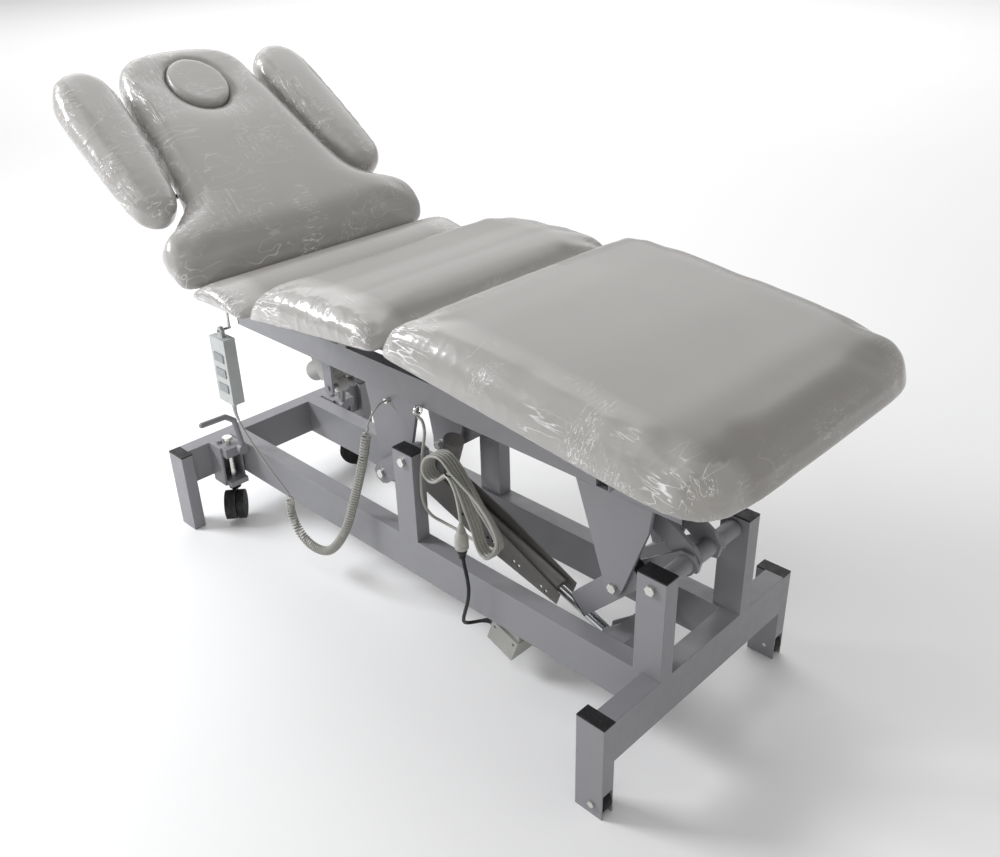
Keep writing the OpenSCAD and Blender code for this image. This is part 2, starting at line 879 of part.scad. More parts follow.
module lift_actuator() color(grey)
    at_lift() {
        housing(lift_pin, 66, 46, 96, 420, 22);
        for (s = [-1, 1])
            difference() {
                plate([[30, -36], [30, 34], [230, 34], [438, 14], [438, -16], [230, -36]],
                    s * 25.5 - 1.5, s * 25.5 + 1.5);
                for (x = [150, 165, 230, 245, 310, 325, 390, 405])
                    rotate([90, 0, 0])
                        translate([x, -8, -40])
                            cylinder(d = 8, h = 80, $fn = 24);
            }
        translate([92, -24, -36])
            cube([140, 48, 3]);
    }

module lift_rod() color(steel)
    at_lift()
        rod(170, lift_len, 22);

module at_backrod() {
    translate([px(back_fx), 0, back_fz])
        rotate([0, -back_ra, 0])
            children();
}

module back_actuator() color(grey)
    at_backrod()
        housing(eye_d, 62, 50, 52, 262, 20);

module back_rod() color(steel)
    at_backrod()
        rod(145, back_rl, 20);

module at_kneerod() {
    translate([px(knee_kx), 0, knee_kz])
        rotate([0, -knee_ra, 0])
            children();
}

module knee_actuator() color(grey)
    at_kneerod()
        housing(eye_d, 60, 50, 64, 200, 20);

module knee_rod() color(steel)
    at_kneerod()
        rod(90, knee_rl, 20);

// ---- handset and cords ----

module handset_shell() color(grey) {
    difference() {
        blk(hs_x - 28, hs_x + 28, hs_y - 14, hs_y + 14, hs_z0, hs_z0 + hs_len);
        for (z = rocker_z)
            blk(hs_x - 18, hs_x + 18, hs_y - 15, hs_y - 9, z - 10, z + 10);
    }
    difference() {
        union() {
            blk(hs_x - 9, hs_x + 9, hs_y - 4, hs_y + 4, hs_z0 + hs_len, hs_pz - 2);
            bar_y(hs_x, hs_pz, 18, hs_y - 4, hs_y + 4);
        }
        bar_y(hs_x, hs_pz, wire_d + run, hs_y - 10, hs_y + 10);
    }
    translate([px(hs_x + 4), hs_y, hs_z0 - 16])
        cylinder(d1 = 9, d2 = 16, h = 16, $fn = 32);
}

module rocker(z) color(black)
    blk(hs_x - key_w, hs_x + key_w, hs_y - 16, hs_y - 11, z - key_h, z + key_h);

module rocker_1() rocker(rocker_z[2]);
module rocker_2() rocker(rocker_z[1]);
module rocker_3() rocker(rocker_z[0]);

module wire_hooks() color(zinc) {
    translate([px(hs_x), hs_y + 21, hs_pz])
        cylinder(d = wire_d, h = hinge_z + pad_z - hs_pz, $fn = 24);
    bar_y(624, 480, 12, -90, -frame_y);
    bar_y(hs_x, hs_pz, wire_d, hs_y - 10, hs_y + 24);
    translate([px(hook_x), -frame_y - 12, frame_z - 2])
        rotate([0, 90, 0])
            translate([0, 0, -2])
                difference() {
                    cylinder(d = 24, h = 4, $fn = 48);
                    translate([0, 0, -1])
                        cylinder(d = 16, h = 6, $fn = 48);
                }
}

// sweep of a round section along points
function unit(v) = v / norm(v);
function dirs(p) = [for (i = [0:len(p) - 1])
    unit(i == 0 ? p[1] - p[0] : i == len(p) - 1 ? p[i] - p[i - 1] : p[i + 1] - p[i - 1])];
function ring(c, t, r, n) =
    let (a = unit(cross(t, [0.13, 1, 0.21])), b = cross(t, a))
    [for (k = [0:n - 1]) c + r * (a * cos(360 * k / n) + b * sin(360 * k / n))];

module sweep(p, d, n) {
    t = dirs(p);
    pts = [for (i = [0:len(p) - 1]) each ring([px(p[i][0]), p[i][1], p[i][2]], t[i], d / 2, n)];
    m = len(p);
    side = [for (i = [0:m - 2]) for (k = [0:n - 1]) each [
        [i * n + k, (i + 1) * n + k, (i + 1) * n + (k + 1) % n],
        [i * n + k, (i + 1) * n + (k + 1) % n, i * n + (k + 1) % n]]];
    polyhedron(points = pts, faces = concat([[for (k = [0:n - 1]) k]], side,
        [[for (k = [n - 1:-1:0]) (m - 1) * n + k]]));
}

module handset_cord() color(grey) {
    sweep(coil_pts, coil_d, 12);
    sweep(lead_a, cord_d, 8);
    sweep(lead_b, cord_d, 8);
}

module mains_hank() color(grey)
    translate([px(0), 0, 0])
        plate([[806, 424], [806, 462], [850, 474], [886, 458], [992, 306], [996, 268], [970, 252],
            [942, 258], [846, 402]], -148, -100);

module mains_plug() color(grey)
    translate([px(plug_x), -174, plug_z]) {
        cylinder(d = 28, h = 34, $fn = 40);
        translate([0, 0, 34])
            cylinder(d1 = 22, d2 = 9, h = 24, $fn = 40);
    }

module mains_lead() color(black)
    sweep(mains_pts, lead_d, 8);

// ---- assembly ----

legs();
cross_rails();
side_rails();
uprights();
tube_caps();
base_bolts();
base_lugs();
power_box();
castor_channels();
foot_wheel_near();
foot_wheel_far();
castor_stem_near();
castor_stem_far();
castor_fork_near();
castor_fork_far();
castor_wheels_near();
castor_wheels_far();
castor_lever_near();
castor_lever_far();
pivot_cross_tube();
arm_tubes();
arm_links();
arm_tube_caps();
mid_arms();
frame_rails();
frame_cross_tubes();
frame_end_caps();
gusset_plates();
gusset_bolts();
actuator_hangers();
seat_frame();
seat_pins();
seat_pad();
leg_tracks();
back_pad();
back_rails();
face_plug();
arm_pad_near();
arm_pad_far();
arm_sockets();
thigh_pad();
thigh_rails();
leg_pad();
leg_rails();
leg_rollers();
lift_actuator();
lift_rod();
back_actuator();
back_rod();
knee_actuator();
knee_rod();
handset_shell();
rocker_1();
rocker_2();
rocker_3();
wire_hooks();
handset_cord();
mains_hank();
mains_plug();
mains_lead();
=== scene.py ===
import math

import bmesh
import bpy
import numpy as np
from mathutils import Matrix, Vector, noise


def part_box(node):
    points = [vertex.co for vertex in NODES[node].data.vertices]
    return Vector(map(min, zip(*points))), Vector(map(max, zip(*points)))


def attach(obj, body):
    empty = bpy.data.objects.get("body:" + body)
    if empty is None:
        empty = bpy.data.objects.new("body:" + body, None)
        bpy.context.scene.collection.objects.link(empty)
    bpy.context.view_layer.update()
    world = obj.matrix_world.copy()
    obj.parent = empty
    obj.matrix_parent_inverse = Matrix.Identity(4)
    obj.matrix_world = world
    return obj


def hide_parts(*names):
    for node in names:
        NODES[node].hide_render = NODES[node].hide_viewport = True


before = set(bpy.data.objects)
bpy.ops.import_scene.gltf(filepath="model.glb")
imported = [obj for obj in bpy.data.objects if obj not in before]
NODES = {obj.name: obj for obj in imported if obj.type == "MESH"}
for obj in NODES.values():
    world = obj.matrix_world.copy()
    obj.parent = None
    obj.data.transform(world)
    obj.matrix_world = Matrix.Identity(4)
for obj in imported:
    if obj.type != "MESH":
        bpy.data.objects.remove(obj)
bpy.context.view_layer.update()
MM = 0.001
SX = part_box("legs")[0].x  # head face of the base, the origin of the part's own lengths


def P(x, y, z):
    """A point of the part's drawing, in millimetres, as a point of the frame."""
    return Vector((SX + x * MM, y * MM, z * MM))


def turn(x, z, degrees):
    return Matrix.Translation(P(x, 0, z)) @ Matrix.Rotation(math.radians(degrees), 4, "Y")


# hinge places in mm and section angles in degrees at rest
BACK_HINGE_X, THIGH_HINGE_X, HINGE_Z, SEAT_Z = 300, 505, 690, 700
BACK_A, THIGH_A, THIGH_LEN = 34, 6.3, 396
BACK = turn(BACK_HINGE_X, HINGE_Z, BACK_A)
SEAT = turn(0, SEAT_Z, 0)
THIGH = turn(THIGH_HINGE_X, HINGE_Z, -THIGH_A)
KNEE_X = THIGH_HINGE_X + THIGH_LEN * math.cos(math.radians(THIGH_A))
KNEE_Z = HINGE_Z + THIGH_LEN * math.sin(math.radians(THIGH_A))
LEG = turn(KNEE_X, KNEE_Z, THIGH_A)

# ---------------------------------------------------------------- camera and light

cam_data = bpy.data.cameras.new("camera")
cam = bpy.data.objects.new("camera", cam_data)
bpy.context.scene.collection.objects.link(cam)
AZ, EL, ROLL = (math.radians(a) for a in (44.97, 28.43, -1.63))
back = Vector((math.sin(AZ) * math.cos(EL), -math.cos(AZ) * math.cos(EL), math.sin(EL)))
right = Vector((math.cos(AZ), math.sin(AZ), 0))
up = back.cross(right)
side = right * math.cos(ROLL) + up * math.sin(ROLL)
head = up * math.cos(ROLL) - right * math.sin(ROLL)
CAMERA_AT = P(2131.57, -1258.5, 1431.06)
cam.matrix_world = Matrix.Translation(CAMERA_AT) @ Matrix(
    [[side.x, head.x, back.x, 0], [side.y, head.y, back.y, 0], [side.z, head.z, back.z, 0], [0, 0, 0, 1]])
cam_data.lens, cam_data.sensor_width = 36.18, 36
cam_data.clip_start, cam_data.clip_end = 0.05, 60
bpy.context.scene.camera = cam


def area(name, place, target, wide, high, watts, colour=(1, 1, 1)):
    """A rectangular soft light at a place, turned to a target."""
    data = bpy.data.lights.new(name, "AREA")
    data.shape, data.size, data.size_y = "RECTANGLE", wide, high
    data.energy, data.color = watts, colour
    o = bpy.data.objects.new(name, data)
    bpy.context.scene.collection.objects.link(o)
    d = Vector(target) - Vector(place)
    o.matrix_world = Matrix.Translation(place) @ d.to_track_quat("-Z", "Y").to_matrix().to_4x4()


area("window", (-2.6, -1.9, 2.4), (-0.1, 0, 0.65), 1.25, 1.0, 104, (0.97, 0.98, 1.0))
area("warm_fill", (3.4, -1.6, 0.9), (0.4, 0, 0.5), 1.8, 1.2, 3, (1, 0.8, 0.62))
area("ceiling", (-7.0, 7.0, 6.0), (-7.0, 7.001, 0), 12.5, 12.5, 640)
area("ceiling_near", (0.5, -3.5, 6.5), (0.5, -3.499, 0), 5, 5, 45)

world = bpy.data.worlds.new("studio")
bpy.context.scene.world = world
world.use_nodes = True
world.node_tree.nodes["Background"].inputs[0].default_value = (1, 1, 1, 1)
world.node_tree.nodes["Background"].inputs[1].default_value = 0.5
bpy.context.scene.view_settings.view_transform = "Standard"

# ---------------------------------------------------------------- materials


def lin(r, g, b):
    """sRGB bytes as a linear colour."""
    return tuple(((c / 255 + 0.055) / 1.055) ** 2.4 if c > 10 else c / 3294.6 for c in (r, g, b)) + (1,)


class Shade:
    """One procedural Principled material in object coordinates."""

    def __init__(self, name, rough=0.5, metal=0.0, **sockets):
        self.m = bpy.data.materials.new(name)
        self.m.use_nodes = True
        self.t = self.m.node_tree
        self.t.nodes.clear()
        self.b = self.add("BsdfPrincipled")
        out = self.add("OutputMaterial")
        self.t.links.new(self.b.outputs[0], out.inputs[0])
        self.put("Roughness", rough)
        self.put("Metallic", metal)
        for k, v in sockets.items():
            self.put(k.replace("_", " "), v)
        self.co = self.add("TexCoord").outputs["Object"]
        self.normal = None

    def add(self, kind, **props):
        n = self.t.nodes.new("ShaderNode" + kind)
        for k, v in props.items():
            setattr(n, k, v)
        return n

    def put(self, socket, value):
        s = self.b.inputs[socket]
        if hasattr(value, "is_output"):
            self.t.links.new(value, s)
        else:
            s.default_value = value

    def feed(self, node, **values):
        for k, v in values.items():
            by_number = k[0] == "i" and k[1:].isdigit()
            s = node.inputs[int(k[1:]) if by_number else k.replace("_", " ")]
            if hasattr(v, "is_output"):
                self.t.links.new(v, s)
            else:
                s.default_value = v
        return node.outputs[0]

    def scaled(self, x, y, z):
        return self.feed(self.add("Mapping"), Vector=self.co, Scale=(x, y, z))

    def noise(self, scale, detail=2.0, rough=0.5, vec=None, bend=0.0):
        return self.feed(self.add("TexNoise"), Vector=vec or self.co, Scale=scale, Detail=detail,
                         Roughness=rough, Distortion=bend)

    def cells(self, scale, feature="F1"):
        return self.feed(self.add("TexVoronoi", feature=feature), Vector=self.co, Scale=scale)

    def math(self, op, a, b=0.0, clamp=False):
        return self.feed(self.add("Math", operation=op, use_clamp=clamp), i0=a, i1=b)

    def span(self, v, a, b, lo=0.0, hi=1.0, kind="LINEAR"):
        """The range a to b of a value, mapped to lo to hi."""
        n = self.add("MapRange", interpolation_type=kind)
        return self.feed(n, Value=v, From_Min=a, From_Max=b, To_Min=lo, To_Max=hi)

    def mix(self, fac, a, b):
        n = self.add("Mix", data_type="RGBA")
        for k, v in ((0, fac), (6, a), (7, b)):
            if hasattr(v, "is_output"):
                self.t.links.new(v, n.inputs[k])
            else:
                n.inputs[k].default_value = v
        return n.outputs[2]

    def attribute(self, name):
        return self.add("Attribute", attribute_name=name).outputs["Fac"]

    def rounded(self, radius):
        """Edges catch light as if they had this radius."""
        n = self.add("Bevel", samples=4)
        n.inputs["Radius"].default_value = radius
        self.normal = n.outputs[0]
        return self

    def edges(self, radius):
        """1 on an edge and 0 on a flat."""
        n = self.add("Bevel", samples=4)
        n.inputs["Radius"].default_value = radius
        d = self.add("VectorMath", operation="DOT_PRODUCT")
        self.t.links.new(n.outputs[0], d.inputs[0])
        self.t.links.new(self.add("NewGeometry").outputs["Normal"], d.inputs[1])
        return self.span(d.outputs["Value"], 0.97, 0.72)

    def bump(self, height, strength, distance, socket="Normal"):
        n = self.add("Bump")
        n.inputs["Strength"].default_value = strength
        n.inputs["Distance"].default_value = distance
        self.t.links.new(height, n.inputs["Height"])
        if self.normal is not None:
            self.t.links.new(self.normal, n.inputs["Normal"])
        self.put(socket, n.outputs[0])
        return n.outputs[0]


def powder_coat(name, tone):
    rough = 0.38
    s = Shade(name, Specular_IOR_Level=0.45).rounded(0.0016)
    cloud = s.noise(3.1, 4, 0.6)
    grime = s.span(s.noise(11, 6, 0.7), 0.52, 0.78)
    c = s.mix(cloud, tone, tuple(x * 0.93 for x in tone[:3]) + (1,))
    c = s.mix(s.math("MULTIPLY", grime, 0.16), c, lin(150, 146, 140))
    edge = s.math("MULTIPLY", s.edges(0.0011), s.span(s.noise(90, 3), 0.5, 0.75))
    c = s.mix(s.math("MULTIPLY", edge, 0.5), c, lin(120, 122, 124))
    s.put("Base Color", c)
    s.put("Roughness", s.span(s.noise(38, 3), 0.3, 0.7, rough - 0.06, rough + 0.1))
    peel = s.math("ADD", s.noise(620, 2), s.math("MULTIPLY", s.noise(150, 2), 0.6))
    s.bump(peel, 0.22, 0.0004)
    return s.m


def plastic(name, tone, rough, grain):
    """Moulded plastic with a fine grain and a little dust."""
    s = Shade(name, Specular_IOR_Level=0.4).rounded(0.0008)
    c = s.mix(s.noise(24, 5, 0.65), tone, tuple(min(1, x * 1.35 + 0.004) for x in tone[:3]) + (1,))
    dust = s.math("MULTIPLY", s.span(s.noise(160, 4, 0.7), 0.55, 0.8), 0.12)
    c = s.mix(dust, c, lin(168, 166, 162))
    s.put("Base Color", c)
    s.put("Roughness", s.span(s.noise(60, 3), 0.3, 0.7, rough - 0.08, rough + 0.12))
    s.bump(s.cells(grain), 0.35, 0.00025)
    return s.m


def metal(name, tone, rough, lines=(0, 0, 0)):
    """Plated or drawn metal; lines stretches its marks along an axis."""
    s = Shade(name, rough, 1.0).rounded(0.0006)
    spots = s.math("MULTIPLY", s.span(s.noise(130, 5, 0.7), 0.5, 0.8), 0.25)
    s.put("Base Color", s.mix(spots, tone, tuple(x * 0.45 for x in tone[:3]) + (1,)))
    s.put("Roughness", s.span(s.noise(85, 4), 0.3, 0.75, rough - 0.08, rough + 0.14))
    v = s.scaled(*lines) if any(lines) else s.co
    s.bump(s.noise(1.0 if any(lines) else 260, 3, 0.6, v), 0.18, 0.0002)
    return s.m


def rubber(name, tone):
    s = Shade(name, 0.72, Specular_IOR_Level=0.3).rounded(0.0008)
    c = s.mix(s.span(s.noise(45, 6, 0.75), 0.45, 0.75), tone, lin(66, 65, 63))
    s.put("Base Color", c)
    s.bump(s.noise(700, 4, 0.7), 0.4, 0.0003)
    return s.m


def hide(name):
    """Off-white leatherette under wrinkled clear film.

    The attribute "film" says how loose the film is, and "under" marks what faces down. Where the film is loose, the
    colour is also painted lighter and its creases are painted near-white as glints."""
    s = Shade(name, 0.42, Specular_IOR_Level=0.42, Coat_IOR=1.5)
    base = lin(146, 143, 139)
    c = s.mix(s.span(s.noise(4.2, 4, 0.6), 0.3, 0.7), base, tuple(x * 0.91 for x in base[:3]) + (1,))
    c = s.mix(s.math("MULTIPLY", s.span(s.noise(19, 5, 0.7), 0.5, 0.8), 0.1), c, lin(140, 130, 116))
    film, under = s.attribute("film"), s.attribute("under")
    c = s.mix(s.span(film, 0.05, 0.4, 0.0, 0.2), c, lin(238, 236, 233))  # loose film is painted lighter, partly for its milky haze and partly as painted light

    def crease(width, vec, bend):
        """A thin line where a noise field crosses its middle value."""
        n = s.noise(1.0, 1.5, 0.5, vec, bend)
        away = s.math("ABSOLUTE", s.math("SUBTRACT", n, 0.5))
        return s.span(away, width, 0.0, 0.0, 1.0, "SMOOTHSTEP")

    patch = s.span(s.noise(9, 2, 0.5), 0.54, 0.62)
    other = s.span(s.noise(8, 2, 0.5, s.scaled(1, 1.3, -1)), 0.55, 0.63)
    sweep = s.span(s.noise(5.5, 2, 0.5, s.scaled(-1.2, 1, 1)), 0.57, 0.62)
    across = s.math("MULTIPLY", crease(0.03, s.scaled(14, 190, 70), 0.05), patch)
    along = s.math("MULTIPLY", crease(0.03, s.scaled(190, 22, 60), 0.05), other)
    long = s.math("MULTIPLY", crease(0.012, s.scaled(30, 9, 20), 0.2), sweep)
    fine = s.math("MAXIMUM", s.math("MAXIMUM", across, along), s.math("MULTIPLY", long, 0.7))
    # specks that bump the coat and are also painted near-white below as glints
    glint_specks = s.math("MULTIPLY", s.span(s.noise(260, 3, 0.7), 0.65, 0.7), s.math("MULTIPLY", patch, 0.7))
    lines = s.math("MULTIPLY", s.math("MAXIMUM", fine, glint_specks), film)
    # painted highlight: the film's crease lines and specks are painted near-white as glints of light
    painted_glint = s.math("MULTIPLY", lines, 0.9, clamp=True)
    c = s.mix(painted_glint, c, lin(250, 251, 252))
    c = s.mix(under, c, lin(38, 38, 40))
    s.put("Base Color", c)
    s.put("Roughness", s.span(under, 0, 1, 0.4, 0.9))
    s.put("Coat Weight", s.math("MULTIPLY", s.span(film, 0, 0.8, 0.5, 1.0), s.math("SUBTRACT", 1.0, under)))
    s.put("Coat Roughness", s.span(film, 0, 1, 0.24, 0.07))
    grain = s.math("ADD", s.math("MULTIPLY", s.cells(760, "SMOOTH_F1"), 0.5), s.noise(1500, 2))
    s.bump(grain, 0.22, 0.00022)
    swell = s.math("MULTIPLY", s.noise(30, 2, 0.5, None, 0.9), s.span(film, 0, 1, 0.08, 1.5))
    s.bump(s.math("ADD", lines, swell), 0.42, 0.0014, "Coat Normal")
    return s.m


def sheath(name, tone, rough):
    """The soft skin of a cord."""
    s = Shade(name, rough, Specular_IOR_Level=0.42)
    c = s.mix(s.noise(55, 4, 0.6), tone, tuple(x * 0.84 for x in tone[:3]) + (1,))
    s.put("Base Color", s.mix(s.math("MULTIPLY", s.span(s.noise(220, 3), 0.55, 0.8), 0.2), c, lin(120, 117, 112)))
    s.put("Roughness", s.span(s.noise(90, 2), 0.3, 0.7, rough - 0.1, rough + 0.1))
    s.bump(s.noise(850, 2), 0.25, 0.0002)
    return s.m


WHITE = powder_coat("frame_white", lin(142, 142, 146))
BLACK = plastic("cap_black", lin(22, 22, 24), 0.5, 1100)
ZINC = metal("bolt_zinc", (0.72, 0.71, 0.68, 1), 0.24)
STEEL = metal("rod_steel", (0.66, 0.67, 0.69, 1), 0.2, (40, 40, 900))
MOTOR = plastic("motor_grey", lin(112, 110, 108), 0.5, 700)
GEAR = plastic("gear_grey", lin(158, 157, 154), 0.46, 800)
GREY = plastic("handset_grey", lin(176, 179, 178), 0.42, 1200)
KEY = plastic("key_grey", lin(140, 143, 144), 0.5, 1400)
BOX = plastic("box_grey", lin(150, 150, 146), 0.5, 900)
TYRE = rubber("tyre_black", lin(26, 26, 27))
CORD = sheath("cord_grey", lin(176, 175, 168), 0.38)
CORD_BLACK = sheath("cord_black", lin(24, 24, 25), 0.45)
HIDE = hide("upholstery")

PAINT = {
    WHITE: ["legs", "cross_rails", "side_rails", "uprights", "base_lugs", "castor_channels", "castor_lever_near",
            "castor_lever_far", "pivot_cross_tube", "arm_tubes", "arm_links", "mid_arms", "frame_rails",
            "frame_cross_tubes", "gusset_plates", "actuator_hangers", "seat_frame", "leg_tracks", "back_rails",
            "arm_sockets", "thigh_rails", "leg_rails"],
    BLACK: ["tube_caps", "arm_tube_caps", "frame_end_caps", "castor_fork_near", "castor_fork_far"],
    ZINC: ["base_bolts", "gusset_bolts", "seat_pins", "wire_hooks", "castor_stem_near", "castor_stem_far"],
    STEEL: ["lift_rod", "back_rod", "knee_rod"],
    MOTOR: ["lift_actuator"], GEAR: ["back_actuator", "knee_actuator"],
    GREY: ["handset_shell"], BOX: ["power_box"],
    KEY: ["rocker_1", "rocker_2", "rocker_3"],
    TYRE: ["foot_wheel_near", "foot_wheel_far", "castor_wheels_near", "castor_wheels_far", "leg_rollers"],
}
for material, names in PAINT.items():
    for n in names:
        NODES[n].data.materials.clear()
        NODES[n].data.materials.append(material)
for n, width in (("handset_shell", 0.0035), ("rocker_1", 0.0012), ("rocker_2", 0.0012), ("rocker_3", 0.0012),
                 ("power_box", 0.0025), ("tube_caps", 0.0012), ("frame_end_caps", 0.0012),
                 ("lift_actuator", 0.002), ("back_actuator", 0.004), ("knee_actuator", 0.004),
                 ("castor_wheels_near", 0.004), ("castor_wheels_far", 0.004), ("castor_fork_near", 0.002),
                 ("castor_fork_far", 0.002), ("foot_wheel_near", 0.003), ("foot_wheel_far", 0.003)):
    bevel = NODES[n].modifiers.new("soft_edge", "BEVEL")
    bevel.width, bevel.segments, bevel.limit_method, bevel.angle_limit = width, 3, "ANGLE", math.radians(50)

# ---------------------------------------------------------------- small builders

CURVE_PARTS = 24  # points between two given points of a route, before they are spaced evenly


def new_object(name, mesh, body, material):
    """A smooth-shaded piece on a body, with its material."""
    o = bpy.data.objects.new(name, mesh)
    bpy.context.scene.collection.objects.link(o)
    mesh.materials.clear()
    mesh.materials.append(material)
    mesh.shade_smooth()
    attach(o, body)
    return o


def arc_of(line):
    """How far along the line each of its points is."""
    return np.concatenate([[0], np.cumsum(np.linalg.norm(np.diff(line, axis=0), axis=1))])


def curve_points(points, step):
    """A smooth line through the points (centripetal Catmull-Rom), as points about step apart."""
    p = [np.array(q, float) for q in points]
    out = []
    n = len(p)
    for i in range(n - 1):
        b, c = p[i], p[i + 1]
        a = p[i - 1] if i else 2 * b - c
        d = p[i + 2] if i + 2 < n else 2 * c - b
        t1 = np.linalg.norm(b - a) ** 0.5 + 1e-9
        t2 = t1 + np.linalg.norm(c - b) ** 0.5 + 1e-9
        t3 = t2 + np.linalg.norm(d - c) ** 0.5 + 1e-9
        for k in range(CURVE_PARTS):
            t = t1 + (t2 - t1) * k / CURVE_PARTS
            a1 = (t1 - t) / t1 * a + t / t1 * b
            a2 = (t2 - t) / (t2 - t1) * b + (t - t1) / (t2 - t1) * c
            a3 = (t3 - t) / (t3 - t2) * c + (t - t2) / (t3 - t2) * d
            b1 = (t2 - t) / t2 * a1 + t / t2 * a2
            b2 = (t3 - t) / (t3 - t1) * a2 + (t - t1) / (t3 - t1) * a3
            out.append((t2 - t) / (t2 - t1) * b1 + (t - t1) / (t2 - t1) * b2)
    line = np.array(out + [p[-1]])
    along = arc_of(line)
    at = np.linspace(0, along[-1], max(3, int(round(along[-1] / step)) + 1))
    return np.stack([np.interp(at, along, line[:, k]) for k in range(3)], axis=1)


def frames_of(line):
    """Two normals along a line, with no twist."""
    t = np.gradient(line, axis=0)
    t /= np.linalg.norm(t, axis=1)[:, None]
    n = np.zeros_like(t)
    n[0] = np.cross(t[0], [0.13, 0.31, 0.94] if abs(t[0][2]) < 0.9 else [0.94, 0.31, 0.13])
    n[0] /= np.linalg.norm(n[0])
    for i in range(1, len(t)):
        v = n[i - 1] - t[i] * (n[i - 1] @ t[i])
        n[i] = v / np.linalg.norm(v)
    return n, np.cross(t, n)


def capped(name, verts, faces, sides, rings):
    """A mesh of stacked rings, closed at its first and last ring."""
    faces.append(tuple(reversed(range(sides))))
    faces.append(tuple((rings - 1) * sides + k for k in range(sides)))
    m = bpy.data.meshes.new(name)
    m.from_pydata(verts, [], faces)
    m.validate()
    return m


def tube_mesh(name, line, radius, sides):
    """A round tube along a line; radius is a number or one for each point."""
    r = np.broadcast_to(np.asarray(radius, float), (len(line),))
    n, b = frames_of(line)
    ang = np.arange(sides) * 2 * math.pi / sides
    verts = [tuple(c + rr * (math.cos(a) * u + math.sin(a) * v))
             for c, u, v, rr in zip(line, n, b, r) for a in ang]
    faces = [(i * sides + k, i * sides + (k + 1) % sides, (i + 1) * sides + (k + 1) % sides, (i + 1) * sides + k)
             for i in range(len(line) - 1) for k in range(sides)]
    return capped(name, verts, faces, sides, len(line))


def spun_mesh(name, profile, matrix):
    """A profile of (radius, height) spun about local Z."""
    n = 40
    verts, faces = [], []
    for r, h in profile:
        for k in range(n):
            a = 2 * math.pi * k / n
            verts.append(tuple(matrix @ Vector((r * math.cos(a), r * math.sin(a), h))))
    for i in range(len(profile) - 1):
        for k in range(n):
            faces.append((i * n + k, i * n + (k + 1) % n, (i + 1) * n + (k + 1) % n, (i + 1) * n + k))
    return capped(name, verts, faces, n, len(profile))


def joined(name, meshes):
    """Several meshes as one."""
    bm = bmesh.new()
    for m in meshes:
        bm.from_mesh(m)
        bpy.data.meshes.remove(m)
    out = bpy.data.meshes.new(name)
    bm.to_mesh(out)
    bm.free()
    return out


# ---------------------------------------------------------------- cords

# the handset cord: a straight lead down from the handset, the curly part, and a lead into the frame
WIRE, CURL_R, CURL_PITCH = 0.0042, 0.0088, 0.0069
LEAD_A = [(320, -271, 431.4), (320, -271, 422), (325, -267, 395), (338, -252, 340), (360, -230, 270),
          (380, -207, 208)]
COIL = [(384, -205, 196), (380, -205, 160), (388, -204, 126), (410, -203, 100), (445, -202, 86), (482, -200, 88),
        (515, -198, 104), (545, -190, 140), (568, -180, 190), (585, -170, 250), (600, -160, 310), (612, -150, 370),
        (618, -142, 420)]
LEAD_B = [(620, -136, 444), (623, -120, 468), (624, -104, 479.5), (624, -96, 480), (624, -90.4, 480)]


def mm_line(points, step):
    return curve_points([P(*p) for p in points], step)


def relaxed(line, least):
    """The line with every bend eased out to at least that radius; its ends stay."""
    line = line.copy()
    for _ in range(600):
        pull = (line[:-2] + line[2:]) / 2 - line[1:-1]
        half = np.linalg.norm(line[2:] - line[:-2], axis=1) / 2
        over = np.clip(2 * np.linalg.norm(pull, axis=1) / half ** 2 * least - 1, 0, 1)
        if over.max() < 0.01:
            break
        weight = np.convolve(over, [0.1, 0.2, 0.4, 0.2, 0.1], "same")
        weight[:1] = weight[-1:] = 0
        line[1:-1] += pull * np.clip(weight, 0, 0.6)[:, None]
    return line


FINE = 0.0001  # metres between the points that a spring is worked out at


def sprung(line, s0, s1, radius, pitch, wire):
    """The line with its stretch from s0 to s1 wound as a spring; it opens out at both ends without a kink."""
    along = arc_of(line)
    s = np.arange(0, along[-1], FINE)
    grow = np.clip(np.minimum(s - s0, s1 - s) / 0.036, 0, 1)
    r = radius * grow ** 3 * (10 - 15 * grow + 6 * grow * grow)
    tight = 2.04 * wire
    c = np.sqrt(np.maximum(tight * r - r * r, (pitch / (2 * math.pi)) ** 2))
    turning = np.where(grow > 0, 1 / c, 0)
    phase = np.cumsum(turning) * FINE
    count = np.maximum(turning * 14 / (2 * math.pi), 1 / 0.004)  # 14 points a turn, or 4 mm apart
    pick = np.searchsorted(np.cumsum(count) * FINE, np.arange(0, (count * FINE).sum(), 1.0))
    pick = np.unique(np.append(pick[pick < len(s)], len(s) - 1))
    mid = np.stack([np.interp(s, along, line[:, k]) for k in range(3)], axis=1)
    kernel = np.ones(61) / 61
    soft = np.stack([np.convolve(np.pad(mid[:, k], 30, "reflect", reflect_type="odd"), kernel, "valid")
                     for k in range(3)], axis=1)
    n, b = frames_of(soft[::20])
    at = s[::20]
    n = np.stack([np.interp(s[pick], at, n[:, k]) for k in range(3)], axis=1)
    b = np.stack([np.interp(s[pick], at, b[:, k]) for k in range(3)], axis=1)
    out = soft[pick] + (r * np.cos(phase))[pick][:, None] * n + (r * np.sin(phase))[pick][:, None] * b
    out[0], out[-1] = line[0], line[-1]
    return out


raw = mm_line(LEAD_A + COIL + LEAD_B, 0.003)
first = float(arc_of(raw)[np.argmin(np.linalg.norm(raw - np.array(P(*LEAD_A[-1])), axis=1))])
last = float(arc_of(raw)[np.argmin(np.linalg.norm(raw - np.array(P(*LEAD_B[0])), axis=1))])
hand_line = sprung(raw, first, last, CURL_R, CURL_PITCH, WIRE)
hand_cord = new_object("handset_curly_cord", tube_mesh("handset_curly_cord", hand_line, WIRE / 2, 8),
                       "upper_frame", CORD)
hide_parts("handset_cord")


